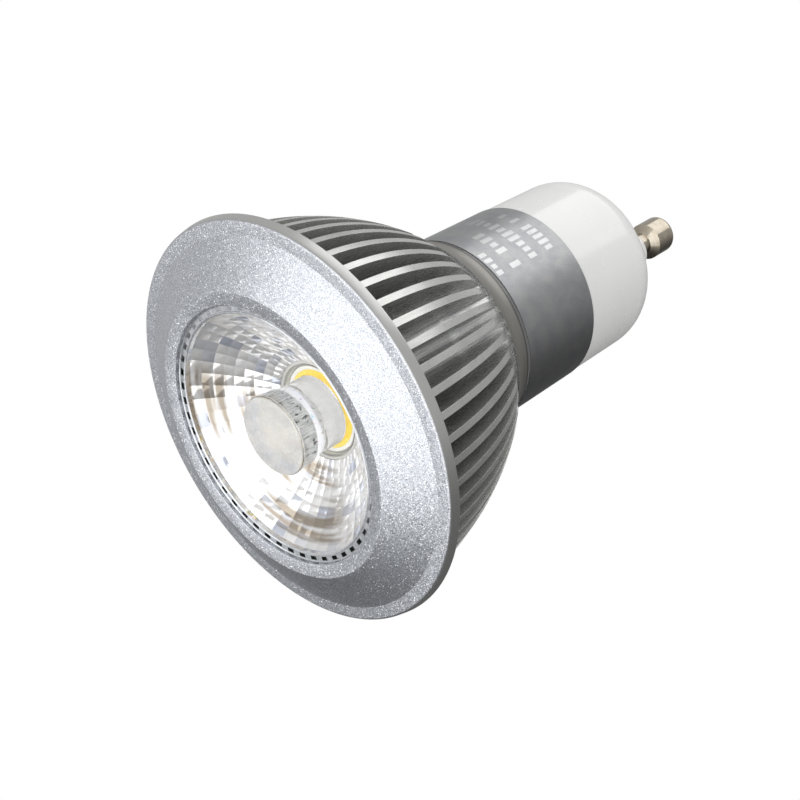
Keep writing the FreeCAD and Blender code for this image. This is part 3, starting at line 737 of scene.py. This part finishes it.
def make_heat_sink():
    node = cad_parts["heat_sink"]
    mesh = node.data.copy()
    mesh.transform(node.matrix_world)
    work = bmesh.new()
    work.from_mesh(mesh)
    bmesh.ops.remove_doubles(work, verts=work.verts, dist=0.001 * MM)
    work.to_mesh(mesh)
    work.free()
    body = new_object("sink_source", mesh)
    gaps = new_object("gaps", gap_mesh())
    modifier = body.modifiers.new("cut", "BOOLEAN")
    modifier.operation = "DIFFERENCE"
    modifier.solver = "EXACT"
    modifier.object = gaps
    cut = evaluated_mesh(body)
    verts = [v.co.copy() for v in cut.vertices]
    faces = [tuple(p.vertices) for p in cut.polygons]
    bpy.data.objects.remove(body)
    bpy.data.objects.remove(gaps)
    piece = finished_piece("finned_sink", verts, faces, turned_aluminium(), 25)
    stand_in(piece, "heat_sink")


# Stage, light and camera

def make_world():
    """Even room light; glossy rays see it brighter in front, darker below and soft in between."""
    room_level = 0.62
    world = bpy.data.worlds.new("studio")
    bpy.context.scene.world = world
    world.use_nodes = True
    tree = world.node_tree

    def add(kind, inputs=None, **settings):
        return add_node(tree, "ShaderNode" + kind, inputs, **settings).outputs

    def ramp(value, low, high, to_low, to_high):
        return add("MapRange", {0: value, 1: low, 2: high, 3: to_low, 4: to_high},
                   interpolation_type="SMOOTHSTEP")[0]

    path = add("LightPath")
    way = add("TexCoord")["Generated"]
    ahead = Vector((-0.05, 0.05, -1.0)).normalized()
    front = add("VectorMath", {0: way, 1: ahead}, operation="DOT_PRODUCT")["Value"]
    glow = ramp(front, 0.25, 0.90, 0.0, 0.44)
    side = ramp(add("SeparateXYZ", {0: way})["Y"], -0.80, 0.05, 0.05, 0.52)
    mirrored = add("Math", {0: glow, 1: side}, operation="ADD")[0]
    room = add("Mix", {0: path["Is Glossy Ray"], 2: room_level, 3: mirrored}, data_type="FLOAT")[0]
    seen = add("Math", {0: path["Is Camera Ray"], 1: path["Is Transmission Ray"]}, operation="MAXIMUM")[0]
    strength = add("Mix", {0: seen, 2: room, 3: 1.0}, data_type="FLOAT")[0]
    background = tree.nodes["Background"]
    background.inputs["Color"].default_value = grey(1.0)
    tree.links.new(strength, background.inputs["Strength"])


def pale_floor():
    """Plain pale paint that is clear from below, to shadow rays and in the bulb's own reflections."""
    f = Finish("pale_floor", Base_Color=grey(0.86), Roughness=0.8)
    path = f.node("LightPath").outputs
    clear = f.node("NewGeometry").outputs["Backfacing"]
    for kind in ("Is Shadow Ray", "Is Glossy Ray", "Is Transmission Ray"):
        clear = f.math("MAXIMUM", clear, path[kind])
    shown = f.node("MixShader", {0: clear, 1: f.shader.outputs[0], 2: f.node("BsdfTransparent").outputs[0]})
    f.tree.links.new(shown.outputs[0], f.output.inputs["Surface"])
    return f.material


def make_floor():
    half = 4.0
    corners = [(-half, -half, 0), (half, -half, 0), (half, half, 0), (-half, half, 0)]
    mesh = bpy.data.meshes.new("floor")
    mesh.from_pydata(corners, [], [(0, 1, 2, 3)])
    mesh.materials.append(pale_floor())
    new_object("floor", mesh)


def softbox(name, direction, distance, size, power):
    """Square lamp at a distance from the bulb's middle, turned to it."""
    middle = mm(0, 0, 25)
    light = bpy.data.lights.new(name, "AREA")
    light.shape = "SQUARE"
    light.size = size
    light.energy = power
    lamp = new_object(name, light)
    away = Vector(direction).normalized()
    lamp.location = middle + away * distance
    lamp.rotation_euler = (-away).to_track_quat("-Z", "Y").to_euler()


def make_camera():
    """Camera at the photograph's angle; picture sizes are in its pixels."""
    picture = 800.0
    focal_length = 1410.863
    middle_x, middle_y = 424.239, 458.666
    place = mm(-122.88938, 54.13286, -84.90964)
    right = Vector((-0.70641844, -0.22800092, 0.67006609))
    up = Vector((0.11641857, 0.8963733, 0.42774013))
    back = Vector((-0.6981545, 0.38017165, -0.60667109))
    data = bpy.data.cameras.new("camera")
    data.sensor_width = 36.0
    data.lens = focal_length * data.sensor_width / picture
    data.shift_x = (picture / 2 - middle_x) / picture
    data.shift_y = (middle_y - picture / 2) / picture
    data.clip_start, data.clip_end = 0.01, 10.0
    camera = new_object("camera", data)
    turn = Matrix((right, up, back)).transposed()
    camera.matrix_world = Matrix.Translation(place) @ turn.to_4x4()
    bpy.context.scene.camera = camera


finish_cad_nodes()
make_bezel()
make_reflector()
make_post()
make_heat_sink()
make_world()
make_floor()
softbox("overhead_softbox", (-0.26, 0.72, 0.6), 0.42, 0.44, 0.72)
softbox("front_softbox", (-0.07, 0.0, -1.0), 0.36, 0.60, 1.20)
make_camera()

bpy.context.scene.view_settings.view_transform = "Standard"
